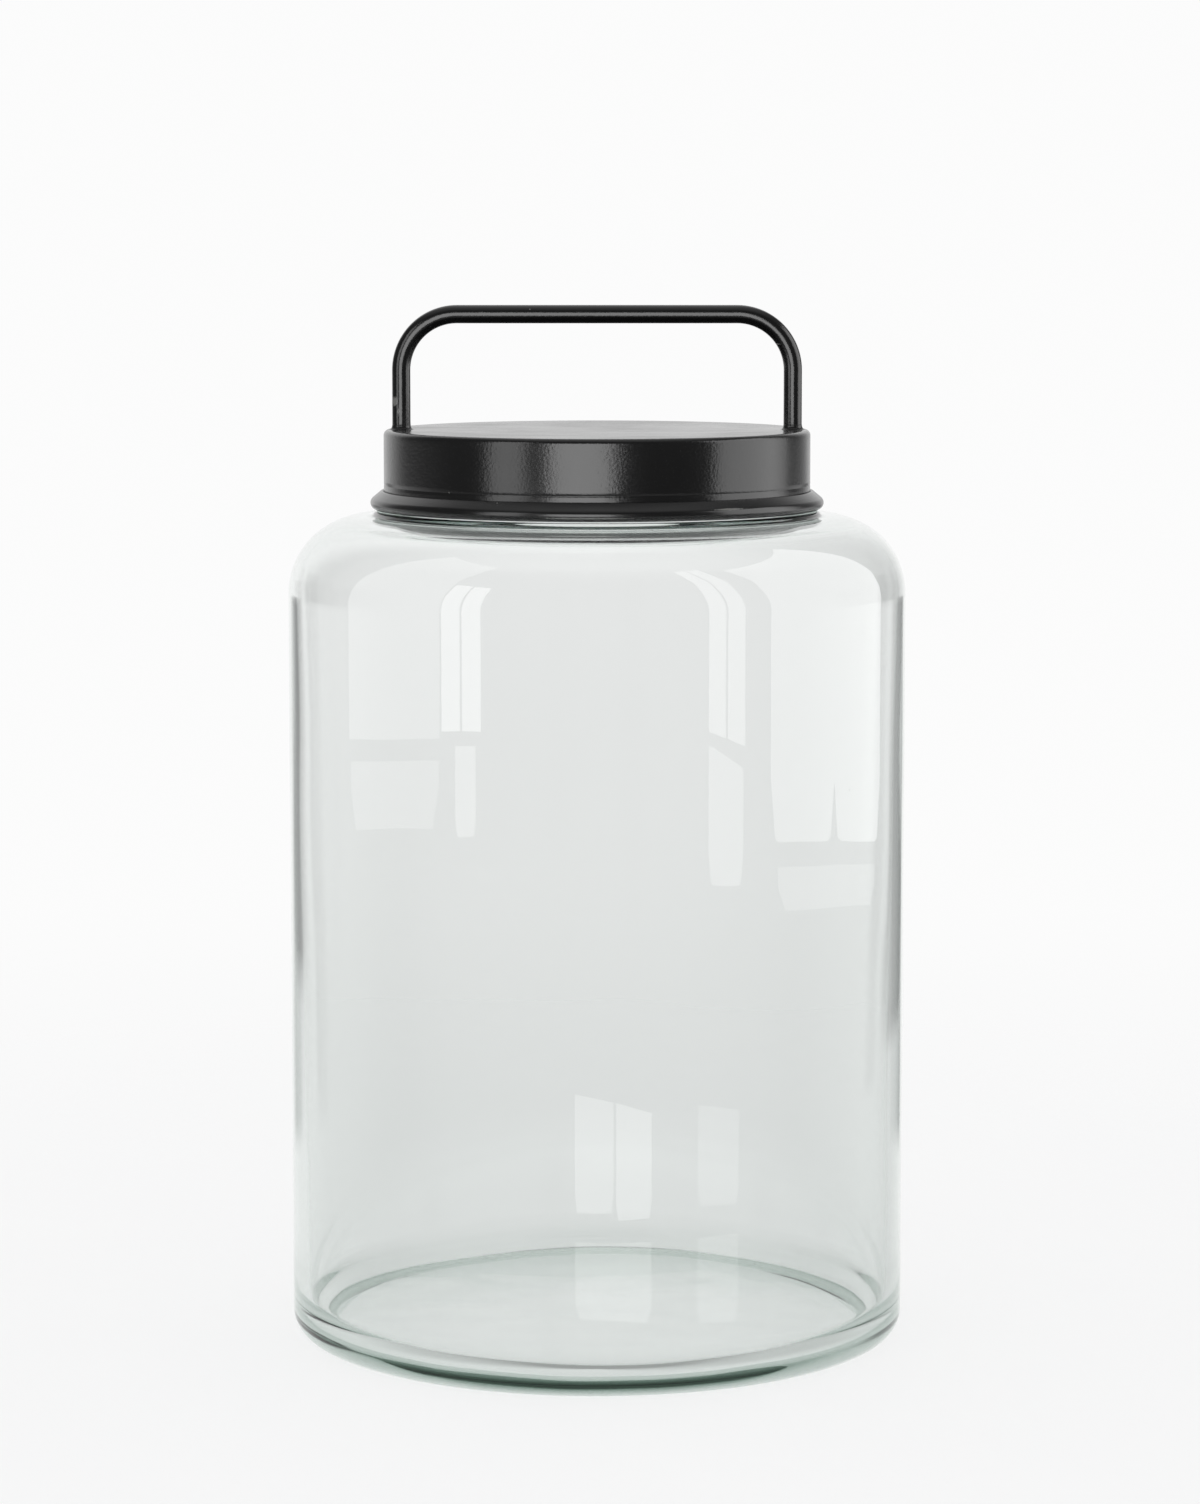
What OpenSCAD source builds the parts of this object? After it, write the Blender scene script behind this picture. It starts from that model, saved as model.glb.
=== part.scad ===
/* [Glass body] */
// Outer diameter of the glass body
body_d = 250; // [235:1:280]
// Height of the centre of the shoulder's curve
shoulder_z = 303.8; // [260:0.2:360]
// Radius of the shoulder's outer curve
shoulder_r = 31.5; // [30:0.5:33]
// Radius of the outer curve at the foot
foot_r = 10; // [7:0.5:13]
// Glass thickness at the top of the straight wall
wall_top = 3.2; // [2.6:0.1:3.8]
// Glass thickness at the foot of the straight wall
wall_foot = 6.4; // [5:0.1:7.5]
// Height of the inner floor above the table
floor_z = 6.2; // [5:0.1:9]
// Radius of the curve between the inner floor and the wall
floor_r = 15; // [11:0.5:18]
// Depth of the hollow pressed into the underside
punt_h = 2; // [1:0.5:3]

/* [Glass neck] */
// Outer diameter of the neck, which the lid covers
neck_d = 166; // [164:0.5:166.5]
// Glass thickness of the neck
neck_wall = 4.5; // [4:0.1:5]
// Height of the neck from the shoulder's top to the rim
neck_h = 30.9; // [26:0.1:36]
// Radius of the curve where the neck opens into the shoulder
neck_root_r = 4; // [3:0.5:5]
// Radius of the melted edges of the rim
rim_round = 1.2; // [0.8:0.1:1.6]
// Outer diameter of the collar at the foot of the neck
collar_d = 181.2; // [179:0.1:182]
// Radius of the collar's round edge
collar_r = 2.4; // [2:0.1:2.5]

/* [Lid] */
// Outer diameter of the lid's skirt
skirt_d = 172.3; // [171.5:0.1:174]
// Thickness of the lid's sheet steel
sheet_t = 1; // [0.8:0.1:1]
// Radius of the outer edge between the lid's top and its skirt
lid_edge_r = 2.2; // [1.8:0.1:2.6]
// Depth of the shallow dish in the lid's top
dish_h = 0.6; // [0.3:0.1:0.9]
// Radius of the shallow dish in the lid's top
dish_r = 70; // [60:1:70]
// Radius of the rounded lower part of the rim bead
bead_r = 2.6; // [2.4:0.1:2.8]
// Height of the rim bead
bead_h = 7.4; // [7:0.1:8]
// Thickness of the rim bead's sheet steel
bead_t = 0.8; // [0.6:0.1:0.8]

/* [Seal] */
// Thickness of the seal between the glass rim and the lid
seal_t = 2.5; // [2:0.1:3]
// Height of the seal's leg beside the neck
seal_leg_h = 9; // [6:0.5:12]
// Width of the seal's flat part inside the rim
seal_overhang = 1.5; // [0.5:0.1:3]

/* [Handle] */
// Diameter of the handle's steel rod
rod_d = 7.4; // [5:0.1:8]
// Distance between the centres of the handle's legs
leg_span = 158; // [150:1:158]
// Height of the handle above the lid
handle_h = 50; // [40:0.5:70]
// Radius of the handle's bends, at the rod's centre
bend_r = 22.5; // [15:0.5:30]
// Width of the weld fillet around each leg
weld_w = 1.2; // [0.8:0.1:1.8]
// Height of the weld fillet around each leg
weld_h = 1.9; // [1:0.1:2.5]

/* [Hidden] */
// Radial gap between the seal and the pieces on each side of it
gap = 0.3;
// Gap between the rim bead and the glass collar below it
bead_gap = 0.4;
body_r = body_d / 2;
neck_r = neck_d / 2;
skirt_r = skirt_d / 2;
bore_r = neck_r - neck_wall;
shoulder_cx = body_r - shoulder_r;
shoulder_top = shoulder_z + shoulder_r;
shoulder_in_r = shoulder_r - wall_top;
cavity_top = shoulder_z + shoulder_in_r;
rim_z = shoulder_top + neck_h;
collar_cx = collar_d / 2 - collar_r;
// How far the centre of the collar's curve is sunk into the shoulder
collar_sink = 0.3;
collar_z = shoulder_top - collar_sink;
// Width of the flat ring that the jar stands on
foot_ring_w = 7;
punt_r = body_r - foot_r - foot_ring_w;
lid_under_z = rim_z + seal_t;
lid_top_z = lid_under_z + sheet_t;
bead_z = collar_z + collar_r + bead_gap;
// The bead's section is a drop: a large circle at its foot and a small one at its head, against the skirt
bead_foot_out = 2.85;
bead_head_out = 0.8;
bead_cx = skirt_r + bead_foot_out;
bead_cz = bead_z + bead_r;
bead_head_r = 0.95;
bead_head_cx = skirt_r + bead_head_out;
bead_head_cz = bead_z + bead_h - bead_head_r;
skirt_foot_z = bead_z + bead_t;
seal_out_r = skirt_r - sheet_t - gap;
// The seal's top edge is cut back, to clear the curve inside the lid
seal_chamfer = 1;
rod_r = rod_d / 2;
leg_x = leg_span / 2;
leg_h = handle_h - rod_r - bend_r;
// Thickness of the weld fillet at its thin edges
weld_edge = 0.2;
$fn = 180;

// The filled outline of two circles and the straight lines that touch both
module teardrop(c1, r1, c2, r2) {
    d = norm(c2 - c1);
    along = atan2(c2[1] - c1[1], c2[0] - c1[0]);
    lean = acos((r1 - r2) / d);
    function touch(c, r, a) = c + r * [cos(a), sin(a)];
    translate(c1) circle(r1);
    translate(c2) circle(r2);
    polygon([
        touch(c1, r1, along - lean), touch(c2, r2, along - lean),
        touch(c2, r2, along + lean), touch(c1, r1, along + lean)
    ]);
}

// The cap of a large circle: r is half the chord and h is its height above y = 0
module shallow_cap(r, h) {
    big_r = (r * r + h * h) / (2 * h);
    intersection() {
        translate([0, h - big_r]) circle(big_r, $fn = 720);
        square([r, h]);
    }
}

// What is left of a square corner outside its rounding, with the corner at the origin
module corner_waste(r) {
    difference() {
        square(r);
        translate([r, r]) circle(r);
    }
}

module jar_outline() {
    square([body_r - foot_r, foot_r]);
    translate([body_r - foot_r, foot_r]) circle(foot_r);
    translate([0, foot_r]) square([body_r, shoulder_z - foot_r]);
    translate([0, shoulder_z]) square([shoulder_cx, shoulder_r]);
    translate([shoulder_cx, shoulder_z]) circle(shoulder_r);
    translate([0, shoulder_z]) square([collar_cx, collar_z + collar_r - shoulder_z]);
    translate([collar_cx, collar_z]) circle(collar_r);
}

module jar_cavity() {
    foot_in_r = body_r - wall_foot;
    wall_in_r = body_r - wall_top;
    curve_top = floor_z + floor_r;
    translate([0, floor_z]) square([foot_in_r - floor_r, floor_r]);
    translate([foot_in_r - floor_r, curve_top]) circle(floor_r);
    polygon([[0, curve_top], [foot_in_r, curve_top], [wall_in_r, shoulder_z], [0, shoulder_z]]);
    translate([0, shoulder_z]) square([shoulder_cx, shoulder_in_r]);
    translate([shoulder_cx, shoulder_z]) circle(shoulder_in_r);
    square([bore_r, shoulder_top + neck_h]);
    translate([bore_r, cavity_top]) corner_waste(neck_root_r);
}

module glass_jar() {
    color([0.86, 0.92, 0.90, 0.35]) rotate_extrude() {
        difference() {
            jar_outline();
            difference() {
                jar_cavity();
                square([body_r, floor_z]);
            }
            shallow_cap(punt_r, punt_h);
        }
        // The neck stands on the shoulder, with both edges of its rim melted round
        translate([bore_r, shoulder_top]) {
            square([neck_wall, neck_h - rim_round]);
            translate([rim_round, 0]) square([neck_wall - 2 * rim_round, neck_h]);
            for (x = [rim_round, neck_wall - rim_round])
                translate([x, neck_h - rim_round]) circle(rim_round);
        }
    }
}

// An L-shaped silicone ring: flat on the rim, with a leg down the outside of the neck
module seal_ring() {
    leg_in_r = neck_r + gap;
    foot_z = rim_z - seal_leg_h;
    color([0.80, 0.82, 0.82]) rotate_extrude() polygon([
        [bore_r - seal_overhang, rim_z],
        [leg_in_r, rim_z],
        [leg_in_r, foot_z],
        [seal_out_r, foot_z],
        [seal_out_r, lid_under_z - seal_chamfer],
        [seal_out_r - seal_chamfer, lid_under_z],
        [bore_r - seal_overhang, lid_under_z]
    ]);
}

// One profile of the lid's shell, which is drawn twice to leave the sheet
module cap_outline(r, top_z, edge_r) {
    translate([0, skirt_foot_z]) square([r, top_z - edge_r - skirt_foot_z]);
    translate([0, skirt_foot_z]) square([r - edge_r, top_z - skirt_foot_z]);
    translate([r - edge_r, top_z - edge_r]) circle(edge_r);
}

module lid_cap() {
    color([0.035, 0.035, 0.037]) rotate_extrude() {
        difference() {
            cap_outline(skirt_r, lid_top_z, lid_edge_r);
            cap_outline(skirt_r - sheet_t, lid_under_z, lid_edge_r - sheet_t);
            translate([0, lid_top_z]) mirror([0, 1]) shallow_cap(dish_r, dish_h);
        }
        translate([0, lid_under_z]) mirror([0, 1]) shallow_cap(dish_r, dish_h);
    }
}

// A rolled ring of sheet steel, open towards the skirt, with a flange under the skirt's edge
module rim_bead() {
    foot = [bead_cx, bead_cz];
    head = [bead_head_cx, bead_head_cz];
    hollow_r = bead_r - bead_t;
    color([0.035, 0.035, 0.037]) rotate_extrude() {
        difference() {
            teardrop(foot, bead_r, head, bead_head_r);
            teardrop(foot, hollow_r, head, bead_head_r - bead_t);
            square([bead_cx, bead_cz]);
            square([bead_cx - hollow_r, bead_head_cz]);
            square([skirt_r, lid_top_z]);
        }
        translate([skirt_r - sheet_t, bead_z]) square([bead_cx - skirt_r + sheet_t, bead_t]);
    }
}

module handle_rod() {
    color([0.035, 0.035, 0.037]) translate([0, 0, lid_top_z]) {
        for (side = [-1, 1]) {
            translate([side * leg_x, 0, 0]) cylinder(r = rod_r, h = leg_h);
            translate([side * (leg_x - bend_r), 0, leg_h]) rotate([90, 0, 0])
                mirror([side < 0 ? 1 : 0, 0, 0])
                    rotate_extrude(angle = 90) translate([bend_r, 0]) circle(rod_r);
        }
        translate([bend_r - leg_x, 0, leg_h + bend_r]) rotate([0, 90, 0])
            cylinder(r = rod_r, h = leg_span - 2 * bend_r);
    }
}

module handle_welds() {
    color([0.035, 0.035, 0.037]) for (side = [-1, 1])
        translate([side * leg_x, 0, lid_top_z]) rotate_extrude() polygon([
            [rod_r, 0],
            [rod_r + weld_w, 0],
            [rod_r + weld_w, weld_edge],
            [rod_r + weld_edge, weld_h],
            [rod_r, weld_h]
        ]);
}

glass_jar();
seal_ring();
lid_cap();
rim_bead();
handle_rod();
handle_welds();
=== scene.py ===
"""A large glass jar with a black steel lid and a bent-rod handle, on a pale floor in soft studio light.

The object's measures are named values in millimetres, and its meshes are in metres. A profile is a list of
(radius, height) points in millimetres about the jar's axis, which is Z.
"""

import math

import bpy
import numpy as np
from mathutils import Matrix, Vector, noise


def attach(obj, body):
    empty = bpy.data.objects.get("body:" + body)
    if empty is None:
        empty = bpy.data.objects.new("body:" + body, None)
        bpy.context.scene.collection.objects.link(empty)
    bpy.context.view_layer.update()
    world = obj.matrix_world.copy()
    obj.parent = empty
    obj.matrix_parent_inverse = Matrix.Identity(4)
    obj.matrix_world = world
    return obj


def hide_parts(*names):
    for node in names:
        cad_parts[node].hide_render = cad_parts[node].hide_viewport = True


MM = 0.001

# The jar, in millimetres
BODY_R, FOOT_R, FOOT_RING_R = 125.0, 10.0, 108.0
PUNT_H, FLOOR_Z, FLOOR_R = 2.0, 6.2, 15.0
WALL_FOOT_R, WALL_TOP_R = 118.6, 121.8
SHOULDER_R, SHOULDER_C = 31.5, (93.5, 303.8)
SHOULDER_IN_R, SHOULDER_IN_C = 28.3, (93.5, 303.8)
COLLAR_R, COLLAR_C = 2.4, (88.2, 335.0)
NECK_R, BORE_R, RIM_Z, RIM_ROUND, NECK_ROOT_R = 83.0, 78.5, 366.2, 1.2, 4.0

# The lid, in millimetres
SKIRT_R, SHEET_T, LID_TOP_Z, LID_EDGE_R = 86.15, 1.0, 369.7, 2.2
LID_UNDER_Z, SKIRT_FOOT_Z = 368.7, 338.6
DISH_R, DISH_H = 70.0, 0.6
BEAD_FOOT_C, BEAD_FOOT_R = (89.0, 340.4), 2.6
BEAD_HEAD_C, BEAD_HEAD_R = (86.95, 344.25), 0.95
BEAD_Z, BEAD_T = 337.8, 0.8
ROD_R, LEG_X, LEG_H, BEND_R = 3.7, 79.0, 23.8, 22.5
WELD_W, WELD_H = 1.2, 1.9

# The coat's colours, and where it is painted grey: ellipsoids, each a centre and radii in millimetres. On the
# rod the marks are scuffs. On the bead, the mark near the crest is a rubbed scuff. The long band on the lower
# front and the spot at its left end are a painted highlight: the bright streak that the bead reflects, painted
# as grey coat.
COAT_BLACK, COAT_GREY_SCUFF_AND_SHEEN = (0.003, 0.003, 0.0032, 1), (0.14, 0.14, 0.135, 1)
BEAD_WEAR_AND_HIGHLIGHT = [
    # Painted highlight: the bright streak along the bead's lower front and the spot at its left end, painted
    # as grey coat
    ((-6, -91, 339.4), (22, 3, 0.35)),
    ((-27, -90, 339.6), (1.5, 2, 0.8)),
    ((52, -75, 342), (9, 6, 0.4)),
]
ROD_SCUFFS = [
    ((72.2, -3, 404.0), (1.6, 3, 0.5)),
    ((-81.5, -3, 381), (1.2, 3, 2.2)),
    ((-80, -3, 377), (0.5, 2, 1.6)),
]

# The camera: its place in metres, how far it looks down in degrees, and its lens in millimetres
CAMERA_AT, CAMERA_DOWN, CAMERA_LENS = (0.0012, -1.8676, 0.4529), 6.55, 110.5


# ---------------------------------------------------------------- meshes

def arc(centre, radius, start, end, steps):
    """Points on a circle, from one angle to another, in degrees."""
    angles = np.radians(np.linspace(start, end, steps))
    return [(centre[0] + radius * math.cos(a), centre[1] + radius * math.sin(a)) for a in angles]


def line(start, end, steps):
    """Evenly spaced points along a line, without its ends."""
    span = np.subtract(end, start)
    return [tuple(np.add(start, np.multiply(span, i / (steps + 1)))) for i in range(1, steps + 1)]


def make_object(name, points, faces, material):
    """A smooth-shaded mesh object from points in metres."""
    mesh = bpy.data.meshes.new(name)
    mesh.from_pydata([tuple(p) for p in points], [], faces)
    mesh.validate()
    mesh.polygons.foreach_set("use_smooth", [True] * len(mesh.polygons))
    mesh.materials.append(material)
    piece = bpy.data.objects.new(name, mesh)
    bpy.context.scene.collection.objects.link(piece)
    return piece


def revolve(name, profile, segments, material, shift=None):
    """A solid of revolution about Z. The profile runs anticlockwise round the solid's section, as a closed
    loop or from the axis back to the axis. shift(x, y, r, z) is a point's radial and vertical shift, in mm."""
    on_axis = profile[0][0] == 0
    ring_points = profile[1:-1] if on_axis else profile
    angles = np.linspace(0, 2 * math.pi, segments, endpoint=False)
    points = []
    for r, z in ring_points:
        for a in angles:
            x, y = math.cos(a), math.sin(a)
            dr, dz = shift(r * x, r * y, r, z) if shift else (0.0, 0.0)
            points.append(((r + dr) * x * MM, (r + dr) * y * MM, (z + dz) * MM))
    rings = len(ring_points)
    faces = []
    for i in range(rings - 1 if on_axis else rings):
        low, high = i * segments, (i + 1) % rings * segments
        for j in range(segments):
            k = (j + 1) % segments
            faces.append((low + j, low + k, high + k, high + j))
    if on_axis:
        points += [(0, 0, profile[0][1] * MM), (0, 0, profile[-1][1] * MM)]
        first, last = len(points) - 2, len(points) - 1
        top = (rings - 1) * segments
        for j in range(segments):
            k = (j + 1) % segments
            faces.append((first, k, j))
            faces.append((top + j, top + k, last))
    return make_object(name, points, faces, material)


def dish_height(r, radius, depth):
    """How far a shallow spherical dish lies below its rim, at a distance r from its centre."""
    big = (radius * radius + depth * depth) / (2 * depth)
    return 0.0 if r >= radius else math.sqrt(big * big - r * r) - (big - depth)


# ---------------------------------------------------------------- the glass jar

def jar_profile():
    """The section of the jar, from the middle of its underside round the outside and back down the inside."""
    foot_c = (BODY_R - FOOT_R, FOOT_R)
    floor_c = (WALL_FOOT_R - FLOOR_R, FLOOR_Z + FLOOR_R)
    root_c = (BORE_R + NECK_ROOT_R, SHOULDER_IN_C[1] + SHOULDER_IN_R + NECK_ROOT_R)
    shoulder_top, collar_top = SHOULDER_C[1] + SHOULDER_R, COLLAR_C[1] + COLLAR_R
    underside = [(r, dish_height(r, FOOT_RING_R, PUNT_H)) for r in np.linspace(0, FOOT_RING_R, 15)]
    outside = (
        underside
        + line(underside[-1], (foot_c[0], 0), 3)
        + arc(foot_c, FOOT_R, -90, 0, 15)
        + line((BODY_R, FOOT_R), (BODY_R, SHOULDER_C[1]), 58)
        + arc(SHOULDER_C, SHOULDER_R, 0, 90, 30)
        + arc((COLLAR_C[0] + COLLAR_R + 0.9, shoulder_top + 0.45), 0.45, 270, 200, 4)
        + arc(COLLAR_C, COLLAR_R, 20, 90, 9)
        + line((COLLAR_C[0], collar_top), (NECK_R + 1, collar_top), 2)
        + arc((NECK_R + 1, collar_top + 1), 1, 270, 180, 4)
        + line((NECK_R, collar_top + 1), (NECK_R, RIM_Z - RIM_ROUND), 6)
        + arc((NECK_R - RIM_ROUND, RIM_Z - RIM_ROUND), RIM_ROUND, 0, 90, 6)
    )
    inside = (
        arc((BORE_R + RIM_ROUND, RIM_Z - RIM_ROUND), RIM_ROUND, 90, 180, 6)
        + line((BORE_R, RIM_Z - RIM_ROUND), (BORE_R, root_c[1]), 6)
        + arc(root_c, NECK_ROOT_R, 180, 270, 9)
        + line((root_c[0], root_c[1] - NECK_ROOT_R), (SHOULDER_IN_C[0], SHOULDER_IN_C[1] + SHOULDER_IN_R), 3)
        + arc(SHOULDER_IN_C, SHOULDER_IN_R, 90, 0, 26)
        + line((WALL_TOP_R, SHOULDER_IN_C[1]), (WALL_FOOT_R, floor_c[1]), 56)
        + arc(floor_c, FLOOR_R, 0, -90, 15)
        + [(r, FLOOR_Z) for r in np.linspace(floor_c[0], 0, 16)[1:]]
    )
    return outside + inside


def blown(x, y, r, z):
    """The slight waves that blowing leaves in the glass: gentle outside and stronger on the inner surface."""
    inner_wall = r < WALL_TOP_R + 0.5 and 12 < z < 331
    inner_floor = abs(z - FLOOR_Z) < 3 and r < WALL_FOOT_R
    if z > 338 or z < 1 or (r < 92 and not inner_floor and z > 300):
        return 0.0, 0.0
    calm = 1.0 - 0.7 * min(1.0, max(0.0, (z - 240) / 60))
    broad = calm * noise.noise(Vector((x, y, z)) / 75.0)
    fine = calm * noise.noise(Vector((x, y, z * 0.35)) / 22.0 + Vector((9, 4, 2)))
    if inner_floor:
        return 0.0, 0.35 * broad + 0.10 * fine
    if inner_wall:
        return 0.30 * broad + 0.03 * fine, 0.0
    if z > 333 and r < 92:
        ripple = noise.noise(Vector((x / 30, y / 30, z / 1.1)))
        return -0.12 - 0.22 * ripple, 0.12 * ripple
    return -0.08 - 0.06 * broad - 0.006 * fine, 0.0


def build_jar(material):
    jar = revolve("blown_glass_jar", jar_profile(), 320, material, blown)
    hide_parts("glass_jar")
    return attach(jar, "jar")


# ---------------------------------------------------------------- the seal and the lid

def build_seal(material):
    """The L-shaped ring, with its edges moulded slightly round."""
    leg_in, leg_out, foot, inner = NECK_R + 0.3, SKIRT_R - SHEET_T - 0.3, RIM_Z - 9, BORE_R - 1.5
    profile = (
        [(inner, RIM_Z + 0.3), (inner + 0.3, RIM_Z), (leg_in - 0.3, RIM_Z), (leg_in, RIM_Z - 0.3)]
        + [(leg_in, foot + 0.3), (leg_in + 0.3, foot), (leg_out - 0.3, foot), (leg_out, foot + 0.3)]
        + [(leg_out, LID_UNDER_Z - 1), (leg_out - 1, LID_UNDER_Z)]
        + [(inner + 0.3, LID_UNDER_Z), (inner, LID_UNDER_Z - 0.3)]
    )
    seal = revolve("silicone_seal", profile, 256, material)
    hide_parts("seal_ring")
    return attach(seal, "seal")


def build_cap(material):
    """The pressed cap: a dished top, a round edge and a skirt with a faint rolled line above its foot."""
    step_z, step_r = 347.6, SKIRT_R - 0.12
    edge_c = (SKIRT_R - LID_EDGE_R, LID_TOP_Z - LID_EDGE_R)
    under_r = SKIRT_R - SHEET_T
    dish = [(r, -dish_height(r, DISH_R, DISH_H)) for r in np.linspace(DISH_R, 0, 18)]
    profile = (
        [(0, LID_UNDER_Z - DISH_H)]
        + [(r, LID_UNDER_Z + d) for r, d in dish[::-1][1:]]
        + line((DISH_R, LID_UNDER_Z), (edge_c[0], LID_UNDER_Z), 3)
        + arc(edge_c, LID_EDGE_R - SHEET_T, 90, 0, 5)
        + line((under_r, edge_c[1]), (under_r, SKIRT_FOOT_Z), 6)
        + [(under_r, SKIRT_FOOT_Z), (SKIRT_R - 0.1, SKIRT_FOOT_Z), (SKIRT_R, SKIRT_FOOT_Z + 0.1)]
        + line((SKIRT_R, SKIRT_FOOT_Z), (SKIRT_R, step_z - 0.4), 8)
        + [(SKIRT_R, step_z - 0.35), (step_r, step_z - 0.1), (step_r, step_z + 0.1), (SKIRT_R, step_z + 0.35)]
        + line((SKIRT_R, step_z + 0.4), (SKIRT_R, edge_c[1]), 14)
        + arc(edge_c, LID_EDGE_R, 0, 90, 14)
        + line((edge_c[0], LID_TOP_Z), (DISH_R, LID_TOP_Z), 5)
        + [(r, LID_TOP_Z + d) for r, d in dish]
    )
    cap = revolve("lid_cap_coated", profile, 384, material)
    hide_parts("lid_cap")
    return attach(cap, "lid")


def build_bead(material):
    """The rolled ring round the skirt's foot: a drop-shaped section, open towards the skirt."""
    along = math.degrees(math.atan2(BEAD_HEAD_C[1] - BEAD_FOOT_C[1], BEAD_HEAD_C[0] - BEAD_FOOT_C[0]))
    reach = math.dist(BEAD_FOOT_C, BEAD_HEAD_C)
    lean = math.degrees(math.acos((BEAD_FOOT_R - BEAD_HEAD_R) / reach))
    tangent, lip = along - lean, 145
    outer = arc(BEAD_FOOT_C, BEAD_FOOT_R, -90, tangent, 20) + arc(BEAD_HEAD_C, BEAD_HEAD_R, tangent, lip, 12)
    inner = (
        arc(BEAD_HEAD_C, BEAD_HEAD_R - BEAD_T, lip, tangent, 6)
        + arc(BEAD_FOOT_C, BEAD_FOOT_R - BEAD_T, tangent, -90, 14)
    )
    flange = [(SKIRT_R - SHEET_T, BEAD_Z + BEAD_T), (SKIRT_R - SHEET_T, BEAD_Z)]
    bead = revolve("rolled_rim_bead", outer + inner + flange, 384, material)
    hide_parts("rim_bead")
    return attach(bead, "lid")


def handle_path():
    """Points along the rod's centre line with the direction of each, from the left foot to the right one."""
    path = [((-LEG_X, z), (0, 1)) for z in np.linspace(0, LEG_H, 12)[:-1]]
    path += [
        ((-LEG_X + BEND_R - BEND_R * math.cos(a), LEG_H + BEND_R * math.sin(a)), (math.sin(a), math.cos(a)))
        for a in np.linspace(0, math.pi / 2, 28)
    ]
    path += [((x, LEG_H + BEND_R), (1, 0)) for x in np.linspace(-LEG_X + BEND_R, 0, 24)[1:]]
    mirrored = [((-x, z), (dx, -dz)) for (x, z), (dx, dz) in path[:-1][::-1]]
    return path + mirrored


def build_handle(material):
    """The bent rod, swept along its centre line and closed at both feet."""
    sides = 48
    path = handle_path()
    points, faces = [], []
    for (x, z), (dx, dz) in path:
        for a in np.linspace(0, 2 * math.pi, sides, endpoint=False):
            u, v = ROD_R * math.cos(a), ROD_R * math.sin(a)
            points.append(((x - dz * u) * MM, v * MM, (LID_TOP_Z + z + dx * u) * MM))
    for i in range(len(path) - 1):
        for j in range(sides):
            k = (j + 1) % sides
            faces.append((i * sides + j, (i + 1) * sides + j, (i + 1) * sides + k, i * sides + k))
    last = (len(path) - 1) * sides
    faces.append(tuple(range(sides)))
    faces.append(tuple(last + j for j in reversed(range(sides))))
    rod = make_object("bent_rod_handle", points, faces, material)
    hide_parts("handle_rod")
    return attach(rod, "lid")


def weld_section(lump):
    """The section of a weld fillet, from its foot up to the rod and down inside it: distances from the rod's
    centre line and heights above the lid, in millimetres. lump scales it."""
    steps, sunk = 9, ROD_R - 0.2
    section = []
    for b in np.linspace(0, math.pi / 2, steps):
        out, up = WELD_W * lump * (1 - math.sin(b)), WELD_H * lump * (1 - math.cos(b))
        section.append((ROD_R + 0.05 + out, up + 0.03))
    return section + [(sunk, WELD_H * lump), (sunk, 0), (ROD_R + WELD_W * lump, 0)]


def build_welds(material):
    """A fillet of weld, thick with paint, round each foot of the handle."""
    points, faces = [], []
    sides = 64
    for side in (-1, 1):
        start = len(points)
        for j in range(sides):
            a = 2 * math.pi * j / sides
            lump = 1 + 0.16 * noise.noise(Vector((math.cos(a) * 1.3, math.sin(a) * 1.3, side * 5.0)))
            section = weld_section(lump)
            for r, z in section:
                x, y = side * LEG_X + r * math.cos(a), r * math.sin(a)
                points.append((x * MM, y * MM, (LID_TOP_Z + z) * MM))
        row = len(section)
        for j in range(sides):
            k = (j + 1) % sides
            for i in range(row):
                n = (i + 1) % row
                corners = (j * row + i, k * row + i, k * row + n, j * row + n)
                faces.append(tuple(start + c for c in corners))
    welds = make_object("handle_weld_fillets", points, faces, material)
    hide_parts("handle_welds")
    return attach(welds, "lid")


# ---------------------------------------------------------------- materials

def new_material(name):
    """An empty material, with its node tree and a helper that adds a node with its values set."""
    material = bpy.data.materials.new(name)
    material.use_nodes = True
    tree = material.node_tree
    tree.nodes.clear()
    return material, tree, node_adder(tree)


def node_adder(tree):
    def add(kind, inputs=None, **settings):
        node = tree.nodes.new("ShaderNode" + kind)
        for key, value in settings.items():
            setattr(node, key, value)
        for key, value in (inputs or {}).items():
            socket = node.inputs[key]
            if isinstance(value, bpy.types.NodeSocket):
                tree.links.new(value, socket)
            else:
                socket.default_value = value
        return node
    return add


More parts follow.
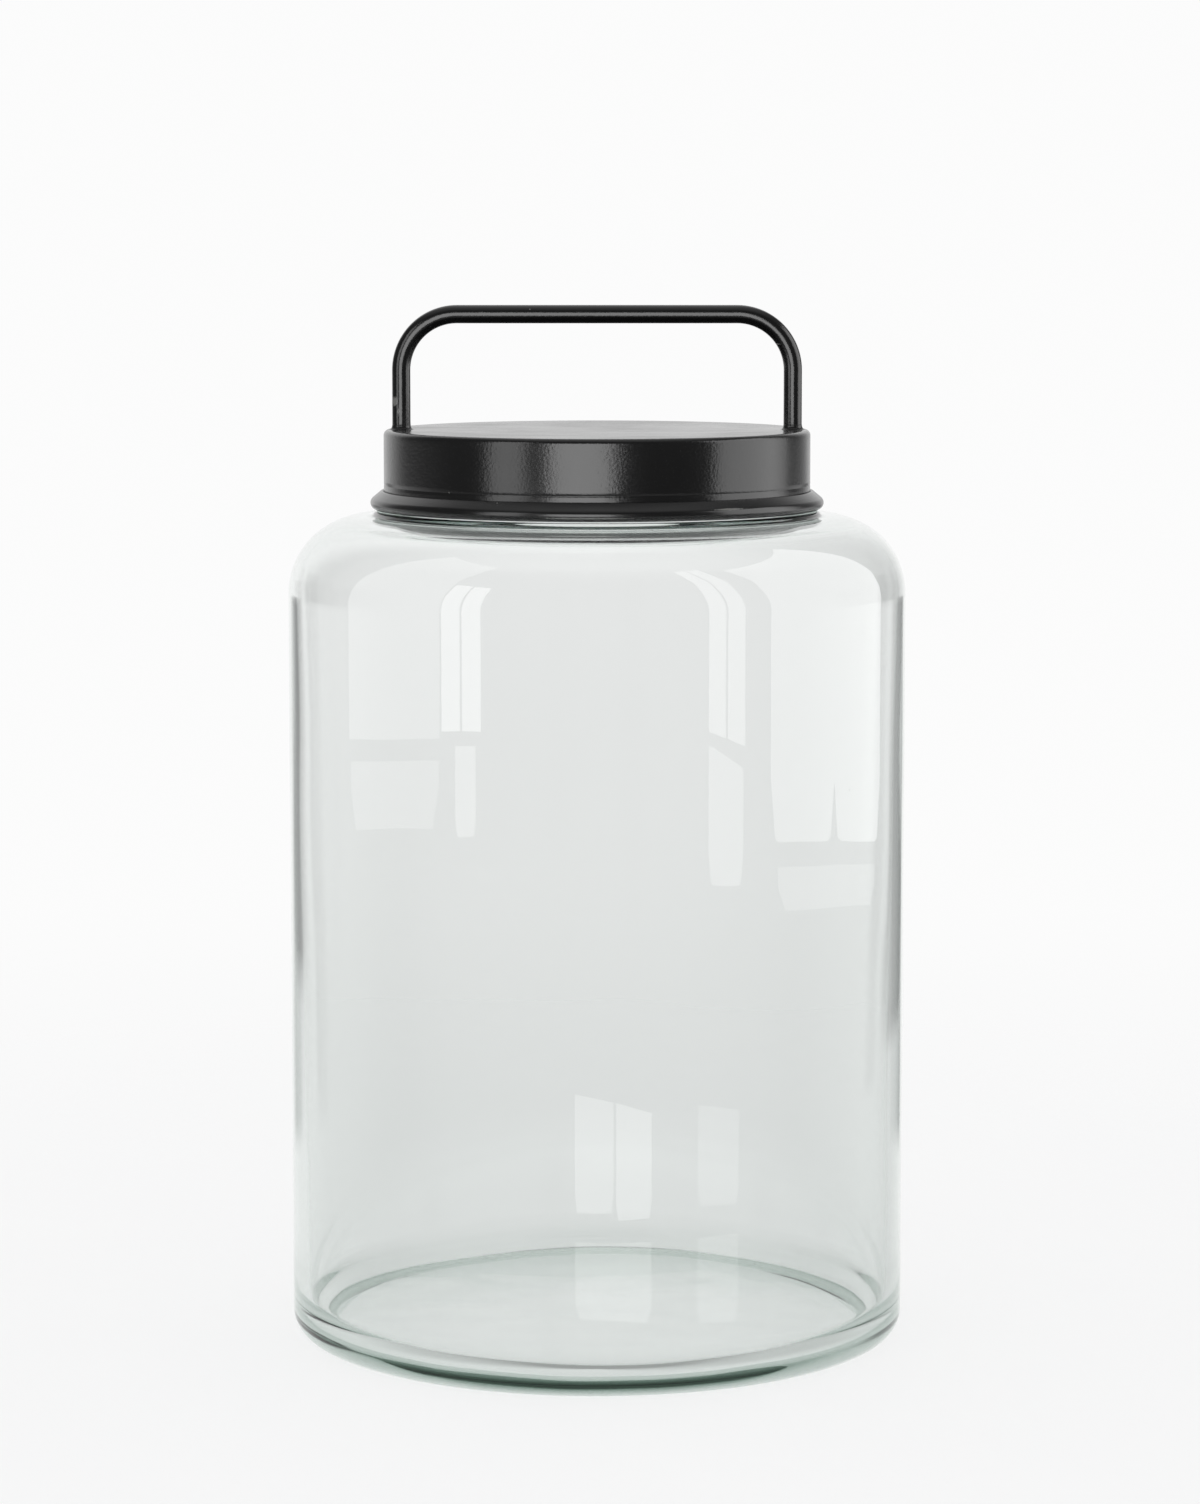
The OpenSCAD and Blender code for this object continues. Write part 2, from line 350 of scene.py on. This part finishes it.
def glass_material():
    """Clear soda glass with a grey-green body colour. Light for shadows and for matte surfaces passes
    straight through, and so does light that has already bounced twice."""
    material, tree, add = new_material("clear_soda_glass")
    where = add("TexCoord").outputs["Object"]
    drawn = add("Mapping", {"Vector": where, "Scale": (1.0, 1.0, 0.06)}).outputs["Vector"]
    streaks = add("TexNoise", {"Vector": drawn, "Scale": 190.0, "Detail": 2.0, "Roughness": 0.5})
    seeds = add("TexVoronoi", {"Vector": where, "Scale": 46.0, "Randomness": 1.0})
    pits = add("MapRange", {"Value": seeds.outputs["Distance"], "From Max": 0.016})
    lines = add("Bump", {"Height": streaks.outputs["Fac"], "Strength": 0.3, "Distance": 0.000005})
    below = lines.outputs["Normal"]
    bump = add("Bump", {"Height": pits.outputs[0], "Strength": 0.6, "Distance": 0.0002, "Normal": below})
    glass = add("BsdfPrincipled", {
        "Base Color": (1, 1, 1, 1),
        "Roughness": 0.0,
        "IOR": 1.5,
        "Transmission Weight": 1.0,
        "Normal": bump.outputs["Normal"],
    })
    clear = add("BsdfTransparent", {"Color": (0.985, 0.99, 0.988, 1)})
    path = add("LightPath").outputs
    soft_light = add("Math", {0: path["Is Shadow Ray"], 1: path["Is Diffuse Ray"]}, operation="MAXIMUM")
    trapped = add("Math", {0: path["Glossy Depth"], 1: 1.5}, operation="GREATER_THAN")
    passes = add("Math", {0: soft_light.outputs[0], 1: trapped.outputs[0]}, operation="MAXIMUM")
    mix = add("MixShader", {0: passes.outputs[0], 1: glass.outputs[0], 2: clear.outputs[0]})
    body = add("VolumeAbsorption", {"Color": (0.275, 0.41, 0.345, 1), "Density": 20.0})
    add("OutputMaterial", {"Surface": mix.outputs[0], "Volume": body.outputs[0]})
    return material


def scuff_and_sheen_mask(add, where, grain, centre, radii):
    """A mask of 1 inside an ellipsoid, its centre and radii in millimetres, with a ragged edge."""
    stretch = Vector([1 / (r * MM) for r in radii])
    offset = add("VectorMath", {0: where, 1: Vector(centre) * MM}, operation="SUBTRACT").outputs[0]
    scaled = add("VectorMath", {0: offset, 1: stretch}, operation="MULTIPLY").outputs[0]
    reach = add("VectorMath", {0: scaled}, operation="LENGTH").outputs["Value"]
    ragged = add("Math", {0: grain, 1: 1.2, 2: reach}, operation="MULTIPLY_ADD").outputs[0]
    fade = {"Value": ragged, "From Min": 1.2, "From Max": 1.7, "To Min": 1.0, "To Max": 0.0}
    return add("MapRange", fade).outputs[0]


def coat_material(name, rough, peel, marks=()):
    """Satin black powder coat: orange peel, drifting gloss, a few specks of dust, and grey marks.
    Each mark is an ellipsoid, its centre and its radii in millimetres, in which the coat is painted grey:
    rubbed scuffs, and on the bead's lower front a painted highlight."""
    material, tree, add = new_material(name)
    where = add("TexCoord").outputs["Object"]
    grain = add("TexNoise", {"Vector": where, "Scale": 900.0, "Detail": 2.5, "Roughness": 0.55}).outputs[0]
    drift = add("TexNoise", {"Vector": where, "Scale": 26.0, "Detail": 4.0, "Roughness": 0.6}).outputs[0]
    duller, glossier = rough + 0.04, rough - 0.03
    gloss = {"Value": drift, "From Min": 0.3, "From Max": 0.7, "To Min": glossier, "To Max": duller}
    dust = add("TexVoronoi", {"Vector": where, "Scale": 260.0, "Randomness": 1.0}).outputs
    speck = {"Value": dust["Distance"], "From Min": 0.05, "From Max": 0.09, "To Min": 1.0, "To Max": 0.0}
    pick = add("SeparateColor", {"Color": dust["Color"]}).outputs[0]
    rare = add("MapRange", {"Value": pick, "From Min": 0.90, "From Max": 0.93}).outputs[0]
    dust_scuffs_and_sheen = add("Math", {0: add("MapRange", speck).outputs[0], 1: rare}, operation="MULTIPLY").outputs[0]
    # Each mark paints the coat grey: a scuff, and on the bead's lower front a painted highlight
    for centre, radii in marks:
        mark = scuff_and_sheen_mask(add, where, grain, centre, radii)
        dust_scuffs_and_sheen = add("Math", {0: dust_scuffs_and_sheen, 1: mark}, operation="MAXIMUM").outputs[0]
    colour = add("Mix", {"Factor": dust_scuffs_and_sheen, "A": COAT_BLACK, "B": COAT_GREY_SCUFF_AND_SHEEN}, data_type="RGBA")
    bump = add("Bump", {"Height": grain, "Strength": peel, "Distance": 0.00012})
    shader = add("BsdfPrincipled", {
        "Base Color": colour.outputs["Result"],
        "Roughness": add("MapRange", gloss).outputs[0],
        "IOR": 1.5,
        "Normal": bump.outputs["Normal"],
    })
    add("OutputMaterial", {"Surface": shader.outputs[0]})
    return material


def silicone_material():
    """Off-white silicone with a faint moulded mottle."""
    material, tree, add = new_material("milky_silicone")
    where = add("TexCoord").outputs["Object"]
    mottle = add("TexNoise", {"Vector": where, "Scale": 140.0, "Detail": 4.0}).outputs["Fac"]
    pale, paler = (0.62, 0.64, 0.63, 1), (0.72, 0.73, 0.72, 1)
    colour = add("Mix", {"Factor": mottle, "A": pale, "B": paler}, data_type="RGBA")
    roughness = add("MapRange", {"Value": mottle, "To Min": 0.45, "To Max": 0.6})
    bump = add("Bump", {"Height": mottle, "Strength": 0.2, "Distance": 0.0001})
    shader = add("BsdfPrincipled", {
        "Base Color": colour.outputs["Result"],
        "Roughness": roughness.outputs[0],
        "Subsurface Weight": 0.1,
        "Normal": bump.outputs["Normal"],
    })
    add("OutputMaterial", {"Surface": shader.outputs[0]})
    return material


# ---------------------------------------------------------------- the studio

# Directions are azimuth, from -Y towards +X, and elevation, both in degrees. The light is plain white: how
# bright the backdrop is, how bright the dim studio is in reflections, what its ceiling and what lies underfoot
# add to that, and how bright its sides are.
BACKDROP, STUDIO_DIM = 0.97, 0.17
CEILING_ADDS, UNDERFOOT_ADDS, SIDES = 0.47, 0.30, 0.75

# Grey flags beside the white, which draw the edges of the glass: azimuth range, softness, how much they hide
FLAGS = [
    (-160, -146, 5, 0.66),
    (144, 162, 2.5, 0.97),
    (-113, -103, 3, 0.50),
    (-77, -67, 3, 0.50),
    (13, 23, 3, 0.50),
    (67, 77, 3, 0.50),
]

# Windows that the glass reflects: azimuths of both sides, elevation of the lower edge at each, elevation of
# the upper edge at each, size of the round lower corners, brightness
WINDOWS = [
    (-104.0, -59.5, -6.2, -6.2, 60, 60, 0.0, 1.50),
    (-103.0, -60.0, -7.5, -7.5, -6.5, -6.5, 0.6, 1.20),
    (-58.7, -51.2, -6.1, -6.1, 32, 32, 0.0, 3.30),
    (-50.3, -42.9, -6.1, -6.1, 32, 32, 0.0, 3.30),
    (-53.2, -45.0, -7.6, -7.6, -6.3, -6.3, 0.3, 2.00),
    (41.3, 47.9, -6.2, -6.3, 57, 57, 0.0, 2.50),
    (48.8, 55.7, -6.3, -6.4, 57, 57, 0.0, 2.40),
    (41.3, 55.0, -8.1, -8.1, -6.4, -6.7, 0.4, 1.80),
    (66.6, 98.0, -7.6, -7.6, 52, 52, 0.8, 2.10),
    (98.0, 130.0, -7.6, -7.6, 52, 52, 0.8, 2.00),
    (70.0, 126.0, -8.45, -8.45, -7.9, -7.9, 0.3, 1.20),
    (-8.0, 6.0, -12.4, -12.4, -11.0, -11.1, 0.2, 1.90),
    (7.0, 20.0, -12.5, -12.5, -11.1, -11.2, 0.2, 2.15),
    (37.4, 53.6, -12.4, -12.4, -11.1, -11.2, 0.2, 1.20),
    (-8.0, 20.0, -14.0, -14.0, -12.8, -12.8, 0.2, 1.60),
    (37.4, 53.6, -14.0, -14.0, -12.8, -12.8, 0.2, 1.10),
]

# Softboxes that only the coated steel reflects, in the same terms
SOFTBOXES = [
    (-26.0, 9.0, -18, -18, 20, 20, 4.0, 4.8),
    (-60.0, -38.0, -18, -18, 35, 35, 2.0, 2.6),
    (66.0, 112.0, -18, -18, 40, 40, 4.0, 2.7),
    (112.0, 122.0, -18, -18, 40, 40, 0.0, 1.7),
]
PANE_DISTANCE, PANE_CENTRE_Z = 20.0, 0.2

# The floor: radius of its disc, where it starts and ends to fade into the white, its own glow, and the share
# of that glow in its light
FLOOR_DISC_R, FLOOR_FADES, FLOOR_GLOW, FLOOR_GLOW_SHARE = 1.4, (0.35, 1.3), 1.01, 0.80


def build_world():
    """White all round for what shows through the glass, and a dim studio with a white back to reflect."""
    world = bpy.data.worlds.new("studio")
    bpy.context.scene.world = world
    world.use_nodes = True
    world.cycles.sampling_method = "NONE"
    tree = world.node_tree
    tree.nodes.clear()
    add = node_adder(tree)

    def calc(operation, a, b=0.0, c=0.0):
        return add("Math", {0: a, 1: b, 2: c}, operation=operation).outputs[0]

    def ramp(value, start, end):
        limits = {"Value": value, "From Min": start, "From Max": end}
        return add("MapRange", limits, interpolation_type="SMOOTHSTEP").outputs[0]

    def band(value, low, high, soft):
        return calc("MULTIPLY", ramp(value, low - soft, low + soft), ramp(value, high + soft, high - soft))

    def mix(factor, a, b):
        return add("Mix", {"Factor": factor, "A": a, "B": b}, data_type="FLOAT").outputs["Result"]

    direction = add("SeparateXYZ", {0: add("TexCoord").outputs["Generated"]})
    x, y, z = direction.outputs
    azimuth = calc("MULTIPLY", calc("ARCTAN2", x, calc("MULTIPLY", y, -1.0)), 57.2958)
    elevation = calc("MULTIPLY", calc("ARCSINE", z), 57.2958)

    flags = 0.0
    for low, high, soft, hides in FLAGS:
        flags = calc("MULTIPLY_ADD", band(azimuth, low, high, soft), hides, flags)
    flags = calc("MULTIPLY", flags, band(elevation, -11.3, 30, 0.3))
    through = mix(flags, BACKDROP, 0.0)

    low_flags = calc("MULTIPLY", flags, ramp(elevation, -4.0, -4.6))
    behind = calc("MAXIMUM", ramp(azimuth, -122, -150), ramp(azimuth, 130, 172))
    overhead = calc("MULTIPLY", ramp(elevation, 40, 75), CEILING_ADDS)
    underfoot = calc("MULTIPLY", ramp(elevation, -16, -26), UNDERFOOT_ADDS)
    dim = calc("ADD", STUDIO_DIM, calc("ADD", overhead, underfoot))
    beside = calc("MULTIPLY", ramp(calc("ABSOLUTE", azimuth), 75, 130), ramp(elevation, -3.8, -4.6))
    dim = mix(beside, dim, SIDES)
    reflected = mix(behind, dim, mix(low_flags, BACKDROP, 0.0))

    path = add("LightPath")
    seen = mix(calc("COMPARE", path.outputs["Glossy Depth"], 1.0, 0.5), through, reflected)
    lit = mix(path.outputs["Is Diffuse Ray"], seen, 1.0)
    shown = mix(path.outputs["Is Camera Ray"], lit, BACKDROP)
    background = add("Background", {"Color": (1, 1, 1, 1), "Strength": shown})
    add("OutputWorld", {"Surface": background.outputs[0]})


def pane_mesh(panes):
    """A grid of quads for each pane, on a sphere about the jar: points, faces and each face's brightness."""
    columns, rows = 16, 6
    points, faces, levels = [], [], []
    for left, right, low_left, low_right, high_left, high_right, corner, level in panes:
        start = len(points)
        for i in range(columns + 1):
            u = i / columns
            azimuth = math.radians(left + (right - left) * u)
            from_side = (right - left) * min(u, 1 - u) / 4
            rise = corner * (1 - math.sqrt(1 - max(0.0, 1 - from_side / corner) ** 2)) if corner else 0.0
            low = low_left + (low_right - low_left) * u + rise
            high = high_left + (high_right - high_left) * u
            for j in range(rows + 1):
                elevation = math.radians(low + (high - low) * j / rows)
                flat, height = PANE_DISTANCE * math.cos(elevation), PANE_DISTANCE * math.sin(elevation)
                points.append((flat * math.sin(azimuth), -flat * math.cos(azimuth), PANE_CENTRE_Z + height))
        for i in range(columns):
            for j in range(rows):
                a = start + i * (rows + 1) + j
                faces.append((a, a + 1, a + rows + 2, a + rows + 1))
                levels.append(level)
    return points, faces, levels


def build_panes(name, panes, sharp):
    """Glowing panes that the camera doesn't see. Sharp ones show only where the glass's outer surface
    reflects them, so that the waves inside it don't comb them into streaks. The others show only in the
    coat's sheen."""
    material, tree, add = new_material(name)
    path = add("LightPath").outputs
    if sharp:
        first = add("Math", {0: path["Ray Depth"], 1: 1.0, 2: 0.5}, operation="COMPARE")
        shows = add("Math", {0: first.outputs[0], 1: path["Is Singular Ray"]}, operation="MULTIPLY")
        material.cycles.emission_sampling = "NONE"
    else:
        shows = add("Math", {0: 1.0, 1: path["Is Singular Ray"]}, operation="SUBTRACT")
    level = add("Attribute", attribute_name="level").outputs["Fac"]
    glow = add("Emission", {"Color": (1, 1, 1, 1), "Strength": level})
    pane = add("MixShader", {0: shows.outputs[0], 1: add("BsdfTransparent").outputs[0], 2: glow.outputs[0]})
    add("OutputMaterial", {"Surface": pane.outputs[0]})
    points, faces, levels = pane_mesh(panes)
    board = make_object(name, points, faces, material)
    attribute = board.data.attributes.new("level", "FLOAT", "FACE")
    attribute.data.foreach_set("value", levels)
    board.visible_camera = board.visible_diffuse = board.visible_shadow = False


def build_floor():
    """A pale floor that glows a little, so that shadows stay faint, and fades into the white. What the outer
    surface of the glass reflects leaves it out."""
    material, tree, add = new_material("pale_floor")
    where = add("TexCoord").outputs["Object"]
    distance = add("VectorMath", {0: where}, operation="LENGTH").outputs["Value"]
    mottle = add("TexNoise", {"Vector": where, "Scale": 9.0, "Detail": 3.0}).outputs["Fac"]
    cool, warm = (0.925, 0.926, 0.93, 1), (0.935, 0.935, 0.935, 1)
    colour = add("Mix", {"Factor": mottle, "A": cool, "B": warm}, data_type="RGBA").outputs["Result"]
    matte = add("BsdfDiffuse", {"Color": colour})
    glow = add("Emission", {"Color": colour, "Strength": FLOOR_GLOW})
    lit = add("MixShader", {0: FLOOR_GLOW_SHARE, 1: matte.outputs[0], 2: glow.outputs[0]})
    limits = {"Value": distance, "From Min": FLOOR_FADES[0], "From Max": FLOOR_FADES[1]}
    fade = add("MapRange", limits, interpolation_type="SMOOTHSTEP")
    bounced = add("Math", {0: add("LightPath").outputs["Glossy Depth"], 1: 1.0, 2: 0.5}, operation="COMPARE")
    clear = add("Math", {0: fade.outputs[0], 1: bounced.outputs[0]}, operation="MAXIMUM")
    mix = add("MixShader", {0: clear.outputs[0], 1: lit.outputs[0], 2: add("BsdfTransparent").outputs[0]})
    add("OutputMaterial", {"Surface": mix.outputs[0]})
    angles = np.linspace(0, 2 * math.pi, 96, endpoint=False)
    ring = [(FLOOR_DISC_R * math.cos(a), FLOOR_DISC_R * math.sin(a), -0.0002) for a in angles]
    floor = make_object("floor", ring, [tuple(range(len(ring)))], material)
    material.cycles.emission_sampling = "NONE"


def build_camera():
    data = bpy.data.cameras.new("camera")
    data.lens, data.sensor_width = CAMERA_LENS, 36
    data.clip_start, data.clip_end = 0.01, 100
    camera = bpy.data.objects.new("camera", data)
    camera.location = CAMERA_AT
    camera.rotation_euler = (math.radians(90 - CAMERA_DOWN), 0, 0)
    bpy.context.scene.collection.objects.link(camera)
    bpy.context.scene.camera = camera


# ---------------------------------------------------------------- the scene

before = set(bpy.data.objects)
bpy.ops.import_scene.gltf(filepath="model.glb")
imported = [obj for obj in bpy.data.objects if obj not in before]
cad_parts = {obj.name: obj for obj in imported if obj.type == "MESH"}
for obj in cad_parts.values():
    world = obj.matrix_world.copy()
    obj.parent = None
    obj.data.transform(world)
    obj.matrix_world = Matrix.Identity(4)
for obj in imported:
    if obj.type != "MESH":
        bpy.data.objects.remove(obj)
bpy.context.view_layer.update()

scene = bpy.context.scene
scene.view_settings.view_transform = "Standard"

build_camera()
build_world()
build_floor()
build_panes("studio_windows", WINDOWS, True)
build_panes("studio_softboxes", SOFTBOXES, False)
build_jar(glass_material())
build_seal(silicone_material())
build_cap(coat_material("satin_coat_cap", 0.19, 0.55))
# The bead's grey marks include a painted highlight along its lower front
build_bead(coat_material("satin_coat_bead", 0.20, 0.25, BEAD_WEAR_AND_HIGHLIGHT))
build_handle(coat_material("satin_coat_rod", 0.17, 0.35, ROD_SCUFFS))
build_welds(coat_material("satin_coat_weld", 0.26, 0.5))
